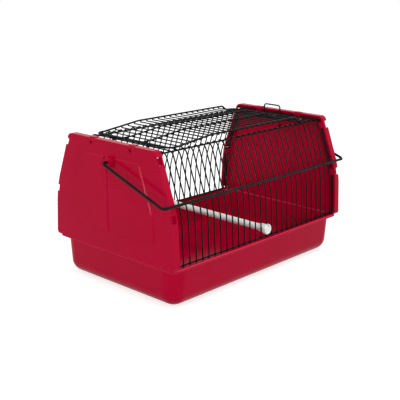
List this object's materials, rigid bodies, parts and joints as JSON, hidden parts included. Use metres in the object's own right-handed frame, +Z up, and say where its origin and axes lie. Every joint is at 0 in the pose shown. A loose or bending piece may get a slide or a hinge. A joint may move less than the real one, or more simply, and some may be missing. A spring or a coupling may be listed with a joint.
{
  "type": "bird travel carrier",
  "caption": "Small bird travel carrier with a rounded plastic tray, moulded end panels, bowed wire bars, a hinged wire roof door with latch loop, swinging carry handle and perch.",
  "frame": {"origin": "middle of the tray's flat underside, on the surface that the carrier stands on", "axes": "+X along the carrier's length towards the end with the latch, +Y towards the back, away from the side that the handle rests on, +Z up"},
  "size_m": [0.326, 0.1962, 0.1805],
  "materials": {
    "crimson_plastic": "glossy injection-moulded crimson plastic",
    "black_wire": "semi-gloss black powder-coated steel wire",
    "white_plastic": "satin off-white plastic"
  },
  "bodies": {
    "carrier": {"base_tray": "crimson_plastic", "left_end_panel": "crimson_plastic", "right_end_panel": "crimson_plastic", "front_bars": "black_wire", "back_bars": "black_wire", "left_roof_hoops": "black_wire", "right_roof_hoops": "black_wire", "left_end_hoop": "black_wire", "right_end_hoop": "black_wire", "front_top_rail": "black_wire", "back_top_rail": "black_wire", "front_foot_rail": "black_wire", "back_foot_rail": "black_wire", "perch_rod": "white_plastic", "front_perch_cap": "white_plastic", "back_perch_cap": "white_plastic"},
    "roof_door": {"door_frame": "black_wire", "door_long_wires": "black_wire", "door_cross_wires": "black_wire", "door_hinge_eyes": "black_wire"},
    "latch": {"door_latch": "black_wire"},
    "handle": {"carry_handle": "black_wire"}
  },
  "joints": [
    {"name": "roof_door_hinge", "type": "hinge", "parent": "carrier", "child": "roof_door", "pos_m": [-0.12, 0, 0.1666], "axis": [0, -1, 0], "range_deg": [0, 150]},
    {"name": "latch_swing", "type": "hinge", "parent": "carrier", "child": "latch", "pos_m": [0.13, 0, 0.1666], "axis": [0, -1, 0], "range_deg": [-60, 65]},
    {"name": "handle_swing", "type": "hinge", "parent": "carrier", "child": "handle", "pos_m": [0, 0, 0.1496], "axis": [-1, 0, 0], "range_deg": [0, 218.7]}
  ]
}
